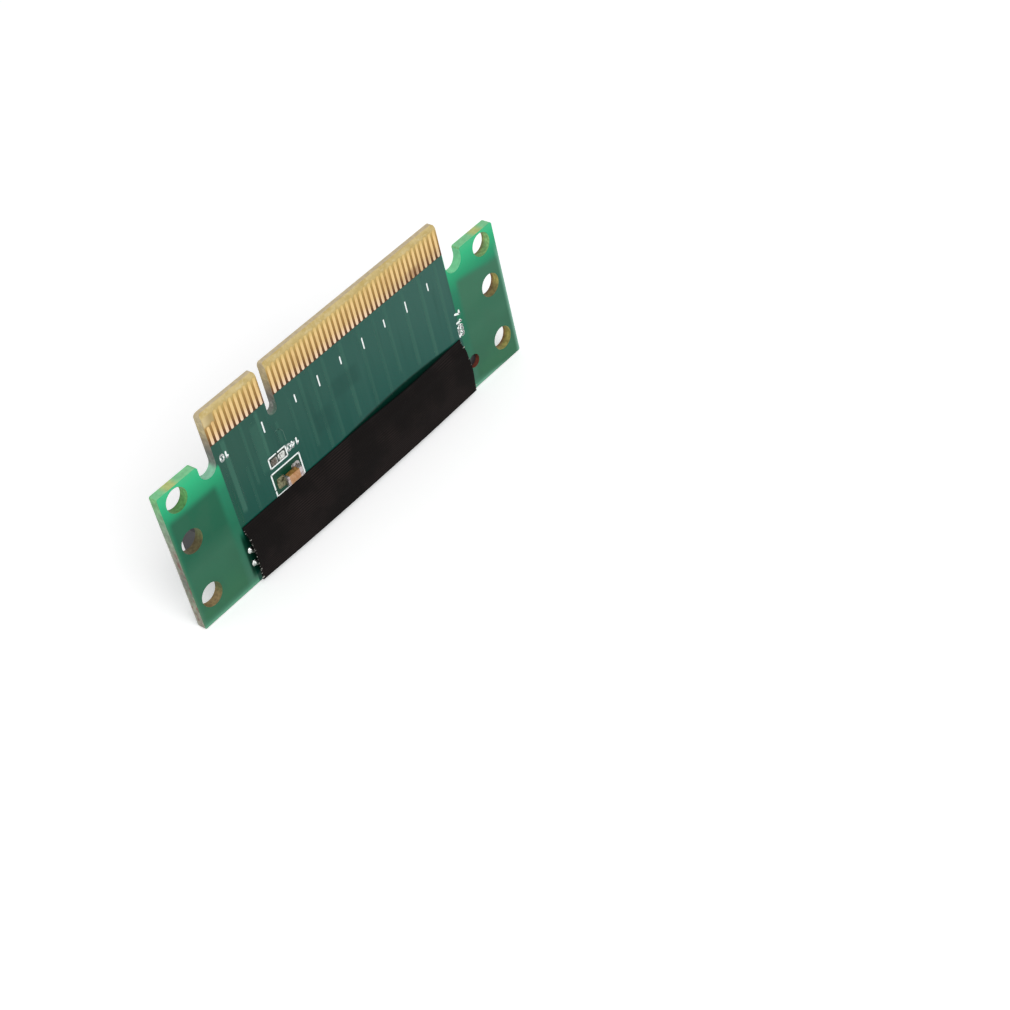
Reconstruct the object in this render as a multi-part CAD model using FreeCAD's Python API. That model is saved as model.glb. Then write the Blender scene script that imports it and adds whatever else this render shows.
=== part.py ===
"""Right-angle riser card: a small circuit board that stands on its long bottom edge, with an eight-lane
edge connector along its top, a card slot on its back near the bottom, and a strip of cloth tape over the
slot's soldered tails on the front.

Millimetres. X runs along the board, +Y is the back (slot) side and +Z points up to the edge connector.
The origin is on the standing edge, half way through the board and half way along the edge connector.
"""
import FreeCAD, Part
import math
import os

Vector = FreeCAD.Vector

# ---- Edge connector and slot: one contact each side at every pitch, with a key after the first group ----
contact_pitch = 1.0
contacts_before_key = 11
contacts_after_key = 38
key_span = 3.0                 # from the last contact before the key to the first one after it

# ---- Circuit board ----
board_thickness = 1.6
board_height = 32.05           # standing edge to the top of the edge connector
ear_height = 25.2              # standing edge to the top of each ear
first_ear_width = 8.05
last_ear_width = 7.9
first_notch_width = 3.3        # between the first ear and the edge connector
last_notch_width = 3.8
ear_notch_depth = 3.2          # below the ear's top, to the round bottom of the notch beside the connector
ear_round = 0.45               # rounded corners: first ear's inner one, last ear's outer one
corner_ease = 0.3              # broken corners elsewhere on the outline
tongue_margin = 0.65           # outermost contact's centre to the side of the edge connector
tongue_round = 0.55
key_width = 1.9
key_depth = 8.55               # below the connector's top, to the notch's round bottom
bevel_height = 0.8
bevel_depth = 0.4

# ---- Bracket screw holes: three in each ear ----
screw_hole_radius = 2.0
screw_hole_inset = 3.15        # hole's centre to the board's end
lower_screw_height = 4.5       # above the standing edge
middle_screw_drop = 10.2       # below the ear's top
upper_screw_drop = 2.4

# ---- Gold fingers ----
gold_thickness = 0.05
finger_width = 0.7
finger_length = 4.87           # from the bevel down to the solder mask
presence_finger_setback = 1.7  # the card-presence finger stops this much short of the bevel

# ---- Card slot: moulded housing ----
slot_height = 4.8              # slot's centre plane above the standing edge
slot_depth = 11.25             # board's back face to the mating face
slot_first_wall = 3.0          # first contact's centre to the end of the housing
slot_last_wall = 3.3           # last contact's centre to the end of the housing
slot_edge_chamfer = 0.4
card_gap = 1.8
card_gap_margin = 0.85         # outermost contact's centre to the end of the gap
card_gap_depth = 8.05
mouth_chamfer = 0.5
key_rib_width = 1.5
standoff_height = 0.3
tail_recess_depth = 1.2
tail_recess_clearance = 0.075  # outside the outer tails
tail_recess_wall = 0.3
recess_end_clearance = 0.18    # past the end tails of each recess
peg_radius = 1.1
peg_length = 0.9
peg_clearance = 0.075          # all round, in the board's hole
end_peg_offset = 2.0           # last contact's centre to the end peg

# ---- Slot contacts ----
strip_thickness = 0.25
strip_width = 0.4
inner_row = 1.25               # tail rows either side of the slot's centre plane
outer_row = 3.25
tail_projection = 0.8          # tail tip in front of the board
jog_height = 0.45              # outer tails bend inwards this high above the board's back face
jog_rise = 0.4
beam_bend_height = 5.6
touch_height = 8.4             # where the spring meets the card
touch_offset = 0.62            # spring's centreline to the slot's centre plane there
spring_tip_height = 9.95
spring_tip_offset = 1.05
cavity_side_clearance = 0.1
cavity_back_clearance = 0.5    # room for the spring to give way behind the beam
cavity_rim = 0.9               # wall left over the cavities at the mating face

# ---- Plated tail holes and solder ----
tail_hole_side = 0.7
solder_radius = 0.62
solder_rise = 0.6

# ---- Cloth tape over the tails ----
tape_start_overlap = 0.2       # past the first contact's centre
tape_end_setback = 0.1         # short of the last contact's centre
tape_top = 10.55
tape_bottom = 0.65
tape_thickness = 0.25
tape_stuck = 0.6               # height of the strip that sticks to the board
tape_tail_clearance = 0.05
tape_crown = 0.3               # extra stand-off half way down, between the two inner tail rows
# Shape at places along the tape: fraction of the length, outward bow of the lower edge, lift of the top edge.
tape_places = (
    (0.0, 0.0, 0.0),
    (0.2, 0.3, 0.0),
    (0.5, 0.45, 0.1),
    (0.75, 0.4, 0.55),
    (1.0, 0.15, 0.0),
)

# ---- Chip capacitor and solder lands on the front ----
land_thickness = 0.08
chip_land_x = -14.3            # middle of the pair of lands
chip_land_height = 12.55
chip_land_pitch = 3.3
chip_land_width = 1.7
chip_land_reach = 2.3
chip_shift = 0.4               # the capacitor sits off the middle of its lands
chip_drop = 0.25
chip_length = 3.2
chip_width = 1.6
chip_rise = 0.95
chip_cap_length = 0.4
chip_cap_wall = 0.03
chip_fillet_rise = 0.5
chip_fillet_reach = 0.45
small_land_x = -15.25
small_land_height = 16.4
small_land_pitch = 1.8
small_land_width = 0.9
small_land_reach = 1.1
small_solder_rise = 0.14

# ---- Worked out from the values above ----
front = -board_thickness / 2
back = board_thickness / 2
before_key_span = (contacts_before_key - 1) * contact_pitch
after_key_span = (contacts_after_key - 1) * contact_pitch
contact_span = before_key_span + key_span + after_key_span
first_contact = -contact_span / 2
last_contact = contact_span / 2
key_centre = first_contact + before_key_span + key_span / 2
tongue_left = first_contact - tongue_margin
tongue_right = last_contact + tongue_margin
first_ear_side = tongue_left - first_notch_width
last_ear_side = tongue_right + last_notch_width
board_left = first_ear_side - first_ear_width
board_right = last_ear_side + last_ear_width
bevel_foot = board_height - bevel_height
finger_foot = bevel_foot - finger_length
ear_notch_floor = ear_height - ear_notch_depth
key_floor = board_height - key_depth
screw_columns = (board_left + screw_hole_inset, board_right - screw_hole_inset)
screw_heights = (lower_screw_height, ear_height - middle_screw_drop, ear_height - upper_screw_drop)
mating_face = back + slot_depth
card_gap_floor = mating_face - card_gap_depth
recess_ceiling = back + tail_recess_depth
recess_margin = strip_width / 2 + recess_end_clearance
recess_half = outer_row + strip_thickness / 2 + tail_recess_clearance
slot_half_width = recess_half + tail_recess_wall
cavity_top = mating_face - cavity_rim
tail_tip = front - tail_projection
peg_hole_radius = peg_radius + peg_clearance
peg_places = (key_centre, last_contact + end_peg_offset)


def contact_places():
    """Each contact's number and X position, counted from the first ear."""
    places = []
    for number in range(1, contacts_before_key + 1):
        places.append((number, first_contact + (number - 1) * contact_pitch))
    first_after_key = first_contact + before_key_span + key_span
    for step in range(contacts_after_key):
        places.append((contacts_before_key + 1 + step, first_after_key + step * contact_pitch))
    return places


def is_odd(number):
    return number % 2 == 1


def tail_row(number):
    """Odd contacts have their tails in the inner rows, even ones in the outer rows."""
    return inner_row if is_odd(number) else outer_row


def block(x_range, y_range, z_range):
    corner = Vector(x_range[0], y_range[0], z_range[0])
    return Part.makeBox(x_range[1] - x_range[0], y_range[1] - y_range[0], z_range[1] - z_range[0], corner)


def closed_polygon(points):
    return Part.makePolygon(points + points[:1])


def prism(points, travel):
    return Part.Face(closed_polygon(points)).extrude(travel)


def rounded_outline(corners, y):
    """Closed wire at depth y through corners (x, z, radius), with a tangent arc at each corner."""
    points = [Vector(x, y, z) for x, z, _ in corners]
    arcs = []
    for index, (_, _, radius) in enumerate(corners):
        corner = points[index]
        towards_last = (points[index - 1] - corner).normalize()
        towards_next = (points[(index + 1) % len(points)] - corner).normalize()
        half_angle = towards_last.getAngle(towards_next) / 2
        reach = radius / math.tan(half_angle)
        inwards = (towards_last + towards_next).normalize()
        start = corner + towards_last * reach
        middle = corner + inwards * (radius / math.sin(half_angle) - radius)
        end = corner + towards_next * reach
        arcs.append((start, middle, end))
    edges = []
    for index, (start, middle, end) in enumerate(arcs):
        previous_end = arcs[index - 1][2]
        if previous_end.distanceToPoint(start) > 1e-6:
            edges.append(Part.LineSegment(previous_end, start).toShape())
        edges.append(Part.Arc(start, middle, end).toShape())
    return Part.Wire(edges)


def round_hole(x, z, radius):
    return Part.Wire(Part.makeCircle(radius, Vector(x, front, z), Vector(0, 1, 0)))


def square_hole(x, z, half):
    """Bore for one tail, four-sided because it is filled and covered on both faces."""
    return closed_polygon([
        Vector(x - half, front, z - half),
        Vector(x + half, front, z - half),
        Vector(x + half, front, z + half),
        Vector(x - half, front, z + half),
    ])


def hexagon(x, y, z, radius):
    corners = []
    for side in range(6):
        angle = math.radians(60 * side)
        corners.append(Vector(x + radius * math.cos(angle), y, z + radius * math.sin(angle)))
    return corners


def board_outline():
    first_notch_radius = first_notch_width / 2
    last_notch_radius = last_notch_width / 2
    key_radius = key_width / 2
    key_left = key_centre - key_radius
    key_right = key_centre + key_radius
    corners = [
        (board_left, 0, corner_ease),
        (board_right, 0, corner_ease),
        (board_right, ear_height, ear_round),
        (last_ear_side, ear_height, corner_ease),
        (last_ear_side, ear_notch_floor, last_notch_radius),
        (tongue_right, ear_notch_floor, last_notch_radius),
        (tongue_right, board_height, tongue_round),
        (key_right, board_height, corner_ease),
        (key_right, key_floor, key_radius),
        (key_left, key_floor, key_radius),
        (key_left, board_height, tongue_round),
        (tongue_left, board_height, tongue_round),
        (tongue_left, ear_notch_floor, first_notch_radius),
        (first_ear_side, ear_notch_floor, first_notch_radius),
        (first_ear_side, ear_height, ear_round),
        (board_left, ear_height, corner_ease),
    ]
    return rounded_outline(corners, front)


def bevel_cutter(face_y, outwards):
    """Wedge that bevels the edge connector on one face; outwards is -1 on the front and +1 on the back."""
    overrun = 1.0
    slope = bevel_depth / bevel_height
    top = board_height + overrun
    section = [
        Vector(tongue_left - overrun, face_y, bevel_foot),
        Vector(tongue_left - overrun, face_y - outwards * slope * (top - bevel_foot), top),
        Vector(tongue_left - overrun, face_y + outwards * overrun, top),
        Vector(tongue_left - overrun, face_y + outwards * overrun, bevel_foot),
    ]
    return prism(section, Vector(tongue_right - tongue_left + 2 * overrun, 0, 0))


def make_circuit_board():
    wires = [board_outline()]
    for x in screw_columns:
        for z in screw_heights:
            wires.append(round_hole(x, z, screw_hole_radius))
    for x in peg_places:
        wires.append(round_hole(x, slot_height, peg_hole_radius))
    for number, x in contact_places():
        for side in (-1, 1):
            z = slot_height + side * tail_row(number)
            wires.append(square_hole(x, z, tail_hole_side / 2))
    face = Part.makeFace(wires, "Part::FaceMakerBullseye")
    board = face.extrude(Vector(0, board_thickness, 0))
    return board.cut([bevel_cutter(front, -1), bevel_cutter(back, 1)])


def make_fingers(face_y, outwards, presence_contact, before_key):
    """One face's gold fingers on one side of the key; the card-presence finger is the short one."""
    fingers = []
    y_range = sorted((face_y, face_y + outwards * gold_thickness))
    for number, x in contact_places():
        if (number <= contacts_before_key) != before_key:
            continue
        setback = presence_finger_setback if number == presence_contact else 0
        x_range = (x - finger_width / 2, x + finger_width / 2)
        fingers.append(block(x_range, y_range, (finger_foot, bevel_foot - setback)))
    return Part.makeCompound(fingers)


def recess_ranges():
    """X ranges of the two tail recesses, which leave a web at the key and a foot at each end."""
    places = dict(contact_places())
    before_key = (places[1] - recess_margin, places[contacts_before_key] + recess_margin)
    after_key = (places[contacts_before_key + 1] - recess_margin, last_contact + recess_margin)
    return (before_key, after_key)


def gap_ranges():
    """X ranges of the card gap either side of the key rib."""
    left = (first_contact - card_gap_margin, key_centre - key_rib_width / 2)
    right = (key_centre + key_rib_width / 2, last_contact + card_gap_margin)
    return (left, right)


def slot_section(x, offsets):
    """Section across the slot at x, from (offset from the centre plane, Y) pairs."""
    return [Vector(x, y, slot_height + offset) for offset, y in offsets]


def contact_cavity(x):
    """Pair of facing contact cavities, joined across the card gap above its floor."""
    half_width = strip_width / 2 + cavity_side_clearance
    wall = inner_row + strip_thickness / 2 + cavity_back_clearance
    web = card_gap / 2
    offsets = (
        (-wall, recess_ceiling),
        (-web, recess_ceiling),
        (-web, card_gap_floor),
        (web, card_gap_floor),
        (web, recess_ceiling),
        (wall, recess_ceiling),
        (wall, cavity_top),
        (-wall, cavity_top),
    )
    return prism(slot_section(x - half_width, offsets), Vector(2 * half_width, 0, 0))


def mouth_cutter():
    """Lead-in bevel all round the mouth of the card gap."""
    left = gap_ranges()[0][0]
    right = gap_ranges()[1][1]
    half = card_gap / 2
    low = Part.Wire(closed_polygon([
        Vector(left, mating_face - mouth_chamfer, slot_height - half),
        Vector(right, mating_face - mouth_chamfer, slot_height - half),
        Vector(right, mating_face - mouth_chamfer, slot_height + half),
        Vector(left, mating_face - mouth_chamfer, slot_height + half),
    ]))
    high = Part.Wire(closed_polygon([
        Vector(left - mouth_chamfer, mating_face, slot_height - half - mouth_chamfer),
        Vector(right + mouth_chamfer, mating_face, slot_height - half - mouth_chamfer),
        Vector(right + mouth_chamfer, mating_face, slot_height + half + mouth_chamfer),
        Vector(left - mouth_chamfer, mating_face, slot_height + half + mouth_chamfer),
    ]))
    return Part.makeLoft([low, high], True, True)


def housing_body():
    """Outside of the housing, with its edges broken round the mating face."""
    x_range = (first_contact - slot_first_wall, last_contact + slot_last_wall)
    z_range = (slot_height - slot_half_width, slot_height + slot_half_width)
    body = block(x_range, (back, mating_face), z_range)
    top_edges = []
    for edge in body.Edges:
        if all(abs(vertex.Y - mating_face) < 1e-6 for vertex in edge.Vertexes):
            top_edges.append(edge)
    return body.makeChamfer(slot_edge_chamfer, top_edges)


def make_slot_housing():
    cutters = [mouth_cutter()]
    for x_range in recess_ranges():
        cutters.append(block(
            x_range,
            (back, back + standoff_height),
            (slot_height - slot_half_width, slot_height + slot_half_width),
        ))
        cutters.append(block(
            x_range,
            (back, recess_ceiling),
            (slot_height - recess_half, slot_height + recess_half),
        ))
    for x_range in gap_ranges():
        cutters.append(block(
            x_range,
            (card_gap_floor, mating_face),
            (slot_height - card_gap / 2, slot_height + card_gap / 2),
        ))
    for _, x in contact_places():
        cutters.append(contact_cavity(x))
    housing = housing_body().cut(cutters)
    pegs = []
    for x in peg_places:
        root = Vector(x, back, slot_height)
        pegs.append(Part.makeCylinder(peg_radius, peg_length, root, Vector(0, -1, 0)))
    return housing.fuse(pegs).removeSplitter()


def strip_outline(centreline, thickness):
    """Both sides of a bent strip, from its centreline as (offset, Y) pairs, with mitred bends."""
    near = []
    far = []
    last = len(centreline) - 1
    for index, (offset, y) in enumerate(centreline):
        here = Vector(offset, y, 0)
        into = here - Vector(*centreline[index - 1], 0) if index > 0 else None
        out = Vector(*centreline[index + 1], 0) - here if index < last else None
        into = (into or out).normalize()
        out = (out or into).normalize()
        along = (into + out).normalize()
        across = Vector(-along.y, along.x, 0)
        reach = thickness / 2 / math.cos(into.getAngle(out) / 2)
        near.append(here + across * reach)
        far.append(here - across * reach)
    far.reverse()
    return [(point.x, point.y) for point in near + far]


def make_contact(number, x, side):
    """Sprung contact: soldered tail, a jog inwards on the outer rows, straight beam, touch bend and tip."""
    row = tail_row(number)
    centreline = [(row, tail_tip)]
    if row > inner_row:
        centreline.append((row, back + jog_height))
        centreline.append((inner_row, back + jog_height + jog_rise))
    centreline.append((inner_row, back + beam_bend_height))
    centreline.append((touch_offset, back + touch_height))
    centreline.append((spring_tip_offset, back + spring_tip_height))
    outline = strip_outline(centreline, strip_thickness)
    mirrored = [(side * offset, y) for offset, y in outline]
    return prism(slot_section(x - strip_width / 2, mirrored), Vector(strip_width, 0, 0))


def make_contacts(side, odd, before_key):
    """One row of contacts on one side of the key; side is +1 above the card gap and -1 below it."""
    contacts = []
    for number, x in contact_places():
        if is_odd(number) == odd and (number <= contacts_before_key) == before_key:
            contacts.append(make_contact(number, x, side))
    return Part.makeCompound(contacts)


def make_solder_joint(x, z):
    """Solder cone round one tail: six-sided on the board, closing to nothing on the tail's four sides."""
    foot = hexagon(x, front, z, solder_radius)
    half_x = strip_width / 2
    half_z = strip_thickness / 2
    crest_y = front - solder_rise
    signs = ((1, 1), (-1, 1), (-1, -1), (1, -1))
    hole = [Vector(x + sx * half_x, front, z + sz * half_z) for sx, sz in signs]
    crest = [Vector(x + sx * half_x, crest_y, z + sz * half_z) for sx, sz in signs]
    rims = [closed_polygon(foot), closed_polygon(hole)]
    faces = [Part.makeFace(rims, "Part::FaceMakerBullseye")]
    for index in range(4):
        after = (index + 1) % 4
        faces.append(Part.Face(closed_polygon([hole[index], hole[after], crest[after], crest[index]])))
    # Crest corner that each of the six foot corners runs up to, going round the same way.
    nearest = (0, 0, 1, 1, 2, 3)
    for index in range(6):
        after = (index + 1) % 6
        top_here = crest[nearest[index]]
        top_after = crest[nearest[after]]
        if top_here == top_after:
            faces.append(Part.Face(closed_polygon([foot[index], foot[after], top_here])))
        else:
            faces.append(Part.Face(closed_polygon([foot[index], foot[after], top_after])))
            faces.append(Part.Face(closed_polygon([foot[index], top_after, top_here])))
    return Part.Solid(Part.Shell(faces))


def make_solder_row(side, odd):
    joints = []
    for number, x in contact_places():
        if is_odd(number) == odd:
            joints.append(make_solder_joint(x, slot_height + side * tail_row(number)))
    return Part.makeCompound(joints)


def tape_section(fraction, bow, lift):
    """Closed section of the tape at one place along it: inside from top to bottom, then the outside."""
    tape_start = first_contact - tape_start_overlap
    tape_end = last_contact - tape_end_setback
    x = tape_start + fraction * (tape_end - tape_start)
    over_tails = tail_projection + tape_tail_clearance
    upper_tails = slot_height + outer_row
    lower_tails = slot_height - outer_row
    inside = [
        (tape_top, lift),
        (tape_top - tape_stuck, lift),
        (upper_tails + inner_row / 2, over_tails - tape_tail_clearance + lift / 2),
        (upper_tails - inner_row / 2, over_tails + tape_crown / 3 + bow / 3),
        (slot_height + inner_row, over_tails + tape_crown + bow * 2 / 3),
        (lower_tails, over_tails + bow),
        (tape_bottom, over_tails - tape_tail_clearance + bow),
    ]
    near = [Vector(x, front - stand_off, z) for z, stand_off in inside]
    far = [Vector(x, front - stand_off - tape_thickness, z) for z, stand_off in reversed(inside)]
    return Part.Wire(closed_polygon(near + far))


def make_insulating_tape():
    return Part.makeLoft([tape_section(*place) for place in tape_places], True, True)


def make_land(x, z, width, reach):
    """Solder-coated copper land, lying on the front face."""
    x_range = (x - width / 2, x + width / 2)
    return block(x_range, (front - land_thickness, front), (z - reach / 2, z + reach / 2))


def make_chip_lands():
    lands = []
    for side in (-1, 1):
        x = chip_land_x + side * chip_land_pitch / 2
        lands.append(make_land(x, chip_land_height, chip_land_width, chip_land_reach))
    return Part.makeCompound(lands)


def make_small_lands():
    """Empty pair of lands, each with a low mound of solder."""
    lands = []
    for side in (-1, 1):
        x = small_land_x + side * small_land_pitch / 2
        rims = []
        for stand_off, inset in ((0, 0), (land_thickness, 0), (small_solder_rise, small_land_width / 4)):
            half_x = small_land_width / 2 - inset
            half_z = small_land_reach / 2 - inset
            y = front - stand_off
            rims.append(Part.Wire(closed_polygon([
                Vector(x - half_x, y, small_land_height - half_z),
                Vector(x + half_x, y, small_land_height - half_z),
                Vector(x + half_x, y, small_land_height + half_z),
                Vector(x - half_x, y, small_land_height + half_z),
            ])))
        lands.append(Part.makeLoft(rims, True, True))
    return Part.makeCompound(lands)


def chip_ends():
    centre = chip_land_x + chip_shift
    return (centre - chip_length / 2, centre + chip_length / 2)


def chip_z_range():
    centre = chip_land_height - chip_drop
    return (centre - chip_width / 2, centre + chip_width / 2)


def make_capacitor_body():
    """Ceramic block between the end caps, clear of the board by the lands and the caps' wall."""
    left, right = chip_ends()
    foot = front - land_thickness - chip_cap_wall
    z_range = chip_z_range()
    x_range = (left + chip_cap_length, right - chip_cap_length)
    return block(x_range, (foot - chip_rise, foot), (z_range[0], z_range[1]))


def make_capacitor_end_caps():
    """Metal end caps, a little proud of the ceramic all round."""
    left, right = chip_ends()
    z_range = chip_z_range()
    z_caps = (z_range[0] - chip_cap_wall, z_range[1] + chip_cap_wall)
    foot = front - land_thickness
    y_caps = (foot - chip_rise - 2 * chip_cap_wall, foot)
    caps = [
        block((left, left + chip_cap_length), y_caps, z_caps),
        block((right - chip_cap_length, right), y_caps, z_caps),
    ]
    return Part.makeCompound(caps)


def make_capacitor_fillets():
    """Solder wedge from each land up its end cap."""
    left, right = chip_ends()
    z_range = chip_z_range()
    foot = front - land_thickness
    wedges = []
    for x, outwards in ((left, -1), (right, 1)):
        section = [
            Vector(x, foot, z_range[0]),
            Vector(x + outwards * chip_fillet_reach, foot, z_range[0]),
            Vector(x, foot - chip_fillet_rise, z_range[0]),
        ]
        wedges.append(prism(section, Vector(0, 0, z_range[1] - z_range[0])))
    return Part.makeCompound(wedges)


def make_nodes():
    presence_front = 1
    presence_back = contacts_before_key + contacts_after_key
    nodes = {
        "circuit_board": make_circuit_board(),
        "edge_fingers_front_before_key": make_fingers(front, -1, presence_front, True),
        "edge_fingers_front_after_key": make_fingers(front, -1, presence_front, False),
        "edge_fingers_back_before_key": make_fingers(back, 1, presence_back, True),
        "edge_fingers_back_after_key": make_fingers(back, 1, presence_back, False),
        "slot_housing": make_slot_housing(),
    }
    for side, side_name in ((1, "upper"), (-1, "lower")):
        for odd, row_name in ((True, "inner"), (False, "outer")):
            row = side_name + "_" + row_name
            nodes["contacts_" + row + "_before_key"] = make_contacts(side, odd, True)
            nodes["contacts_" + row + "_after_key"] = make_contacts(side, odd, False)
            nodes["solder_joints_" + row] = make_solder_row(side, odd)
    nodes["insulating_tape"] = make_insulating_tape()
    nodes["capacitor_lands"] = make_chip_lands()
    nodes["capacitor_body"] = make_capacitor_body()
    nodes["capacitor_end_caps"] = make_capacitor_end_caps()
    nodes["capacitor_solder_fillets"] = make_capacitor_fillets()
    nodes["empty_lands"] = make_small_lands()
    return nodes


os.makedirs("parts", exist_ok=True)
for node, shape in make_nodes().items():
    shape.exportStep("parts/" + node + ".step")
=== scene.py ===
"""Looks of the riser card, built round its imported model.

Metres, in the model's own frame: X runs along the board, -Y is the taped front, +Y the back with the card
slot, and Z=0 is the standing edge. Sizes are written in millimetres and turned into metres when used.
"""

import bmesh
import bpy
import math
import random
import numpy as np
from mathutils import Matrix, Vector


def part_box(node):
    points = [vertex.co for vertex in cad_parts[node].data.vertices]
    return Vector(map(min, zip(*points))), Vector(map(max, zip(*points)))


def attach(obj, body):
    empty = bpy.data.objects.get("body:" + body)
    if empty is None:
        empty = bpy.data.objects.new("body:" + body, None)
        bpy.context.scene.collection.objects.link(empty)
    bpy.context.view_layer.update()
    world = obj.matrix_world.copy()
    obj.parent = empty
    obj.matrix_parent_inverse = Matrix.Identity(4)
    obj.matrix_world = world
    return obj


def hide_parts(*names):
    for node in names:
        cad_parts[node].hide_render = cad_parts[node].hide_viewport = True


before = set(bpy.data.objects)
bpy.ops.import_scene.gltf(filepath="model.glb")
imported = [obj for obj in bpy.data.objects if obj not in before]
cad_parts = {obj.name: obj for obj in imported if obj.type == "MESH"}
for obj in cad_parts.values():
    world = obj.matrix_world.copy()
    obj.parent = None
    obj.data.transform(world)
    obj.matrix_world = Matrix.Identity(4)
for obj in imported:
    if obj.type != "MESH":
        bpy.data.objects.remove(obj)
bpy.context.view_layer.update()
MM = 0.001

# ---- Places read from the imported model, in millimetres ----


def box_mm(node):
    """Low and high corner of a node's box."""
    low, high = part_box(node)
    return low / MM, high / MM


board_low, board_high = box_mm("circuit_board")
before_low, _ = box_mm("edge_fingers_front_before_key")
after_low, after_high = box_mm("edge_fingers_front_after_key")
tape_low, tape_high = box_mm("insulating_tape")
chip_low, chip_high = box_mm("capacitor_body")
caps_low, caps_high = box_mm("capacitor_end_caps")
lands_low, lands_high = box_mm("capacitor_lands")
small_low, small_high = box_mm("empty_lands")
FRONT = board_low.y
BACK = board_high.y
PITCH = 1.0  # from contact to contact
BEFORE_KEY = 11  # contacts before the key notch
CONTACTS = BEFORE_KEY + 38
FINGER_WIDTH = 0.7
FINGER_FOOT = before_low.z
GOLD = FRONT - before_low.y  # thickness of a finger
# Centres of the first and last contact, and of the first one after the key.
FIRST = before_low.x + FINGER_WIDTH / 2
LAST = after_high.x - FINGER_WIDTH / 2
FIRST_AFTER_KEY = after_low.x + FINGER_WIDTH / 2
SLOT_HEIGHT = 4.8  # middle of the slot above the standing edge
INNER_ROW = 1.25  # tail rows, above and below the middle of the slot
OUTER_ROW = 3.25


def contact_x(number):
    """Centre of a contact, counted from 1 at the end before the key."""
    if number <= BEFORE_KEY:
        return FIRST + (number - 1) * PITCH
    return FIRST_AFTER_KEY + (number - BEFORE_KEY - 1) * PITCH


# ---- Meshes ----


class Mould:
    """Collects vertices and faces in millimetres, and turns them into one object."""

    def __init__(self):
        self.points = []
        self.faces = []

    def add(self, points, faces):
        start = len(self.points)
        self.points.extend(points)
        self.faces.extend([tuple(start + index for index in face) for face in faces])

    def loft(self, loops):
        """Skin between closed loops of equally many points, with a cap on each end."""
        count = len(loops[0])
        points = [point for loop in loops for point in loop]
        faces = []
        for level in range(len(loops) - 1):
            for index in range(count):
                after = (index + 1) % count
                low = level * count
                high = low + count
                faces.append((low + index, low + after, high + after, high + index))
        faces.append(tuple(reversed(range(count))))
        faces.append(tuple(range(len(points) - count, len(points))))
        self.add(points, faces)

    def make(self, name, material, smooth_angle=40):
        """Turns what was collected into one piece on the part's only body."""
        mesh = bpy.data.meshes.new(name)
        scaled = [(x * MM, y * MM, z * MM) for x, y, z in self.points]
        mesh.from_pydata(scaled, [], self.faces)
        mesh.validate()
        piece = bpy.data.objects.new(name, mesh)
        bpy.context.scene.collection.objects.link(piece)
        tidy_normals(piece, smooth_angle)
        mesh.materials.append(material)
        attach(piece, "root")
        return piece


def tidy_normals(piece, smooth_angle):
    """Points every face outwards, and shades smooth all but the sharp edges."""
    work = bmesh.new()
    work.from_mesh(piece.data)
    bmesh.ops.recalc_face_normals(work, faces=work.faces)
    work.to_mesh(piece.data)
    work.free()
    piece.data.shade_smooth()
    piece.data.set_sharp_from_angle(angle=math.radians(smooth_angle))


SMALLEST_RADIUS = 0.004


def rounded_rectangle(x_range, z_range, radius, inset, steps=5):
    """Points round a rectangle in X and Z, drawn in by inset on all sides."""
    x0, x1 = x_range[0] + inset, x_range[1] - inset
    z0, z1 = z_range[0] + inset, z_range[1] - inset
    radius = max(radius - inset, SMALLEST_RADIUS)
    corners = ((x0, z0, 1, 1, 180), (x1, z0, -1, 1, 270), (x1, z1, -1, -1, 0), (x0, z1, 1, -1, 90))
    outline = []
    for x, z, to_x, to_z, start in corners:
        for step in range(steps + 1):
            angle = math.radians(start + 90 * step / steps)
            outline.append((x + to_x * radius + radius * math.cos(angle),
                            z + to_z * radius + radius * math.sin(angle)))
    return outline


def add_pad(mould, x_range, z_range, radius, face_y, outwards, rise, edge=0.03, dome=0.0):
    """A plated pad on the board: a low slab with rounded edges, and a dome if it carries solder."""
    # Each level is an inset and a height.
    levels = [(0.0, 0.0), (0.0, rise * 0.6), (edge * 0.35, rise * 0.9), (edge, rise)]
    reach = min(x_range[1] - x_range[0], z_range[1] - z_range[0]) / 2
    if dome:
        for share in (0.25, 0.5, 0.75):
            swell = dome * math.sin(share * math.pi / 2)
            levels.append((edge + (reach - edge) * share * 0.9, rise + swell))
    loops = []
    for inset, height in levels:
        outline = rounded_rectangle(x_range, z_range, radius, inset)
        loops.append([(x, face_y + outwards * height, z) for x, z in outline])
    mould.loft(loops)


def add_stroke(mould, path, width, face_y, outwards, height):
    """A painted or etched line with round ends, standing height proud of a face."""
    half = width / 2
    for (x0, z0), (x1, z1) in zip(path, path[1:]):
        heading = math.atan2(z1 - z0, x1 - x0)
        loops = []
        for inset, level in ((0.0, 0.0), (0.0, height * 0.6), (width * 0.14, height)):
            radius = half - inset
            loop = []
            for end_x, end_z, start in ((x1, z1, -90), (x0, z0, 90)):
                for step in range(7):
                    angle = heading + math.radians(start + 30 * step)
                    loop.append((end_x + radius * math.cos(angle), face_y + outwards * level,
                                 end_z + radius * math.sin(angle)))
            loops.append(loop)
        mould.loft(loops)


def add_rounded_box(mould, low, high, radius):
    """A box whose edges are rounded, lofted along Y."""
    steps = 3
    loops = []
    for face_y, inwards, turns in ((low[1], 1, range(steps + 1)), (high[1], -1, range(steps, -1, -1))):
        for step in turns:
            angle = math.radians(90 * step / steps)
            inset = radius * (1 - math.sin(angle))
            y = face_y + inwards * radius * (1 - math.cos(angle))
            outline = rounded_rectangle((low[0], high[0]), (low[2], high[2]), radius, inset, steps)
            loops.append([(x, y, z) for x, z in outline])
    mould.loft(loops)


# ---- Materials ----


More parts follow.
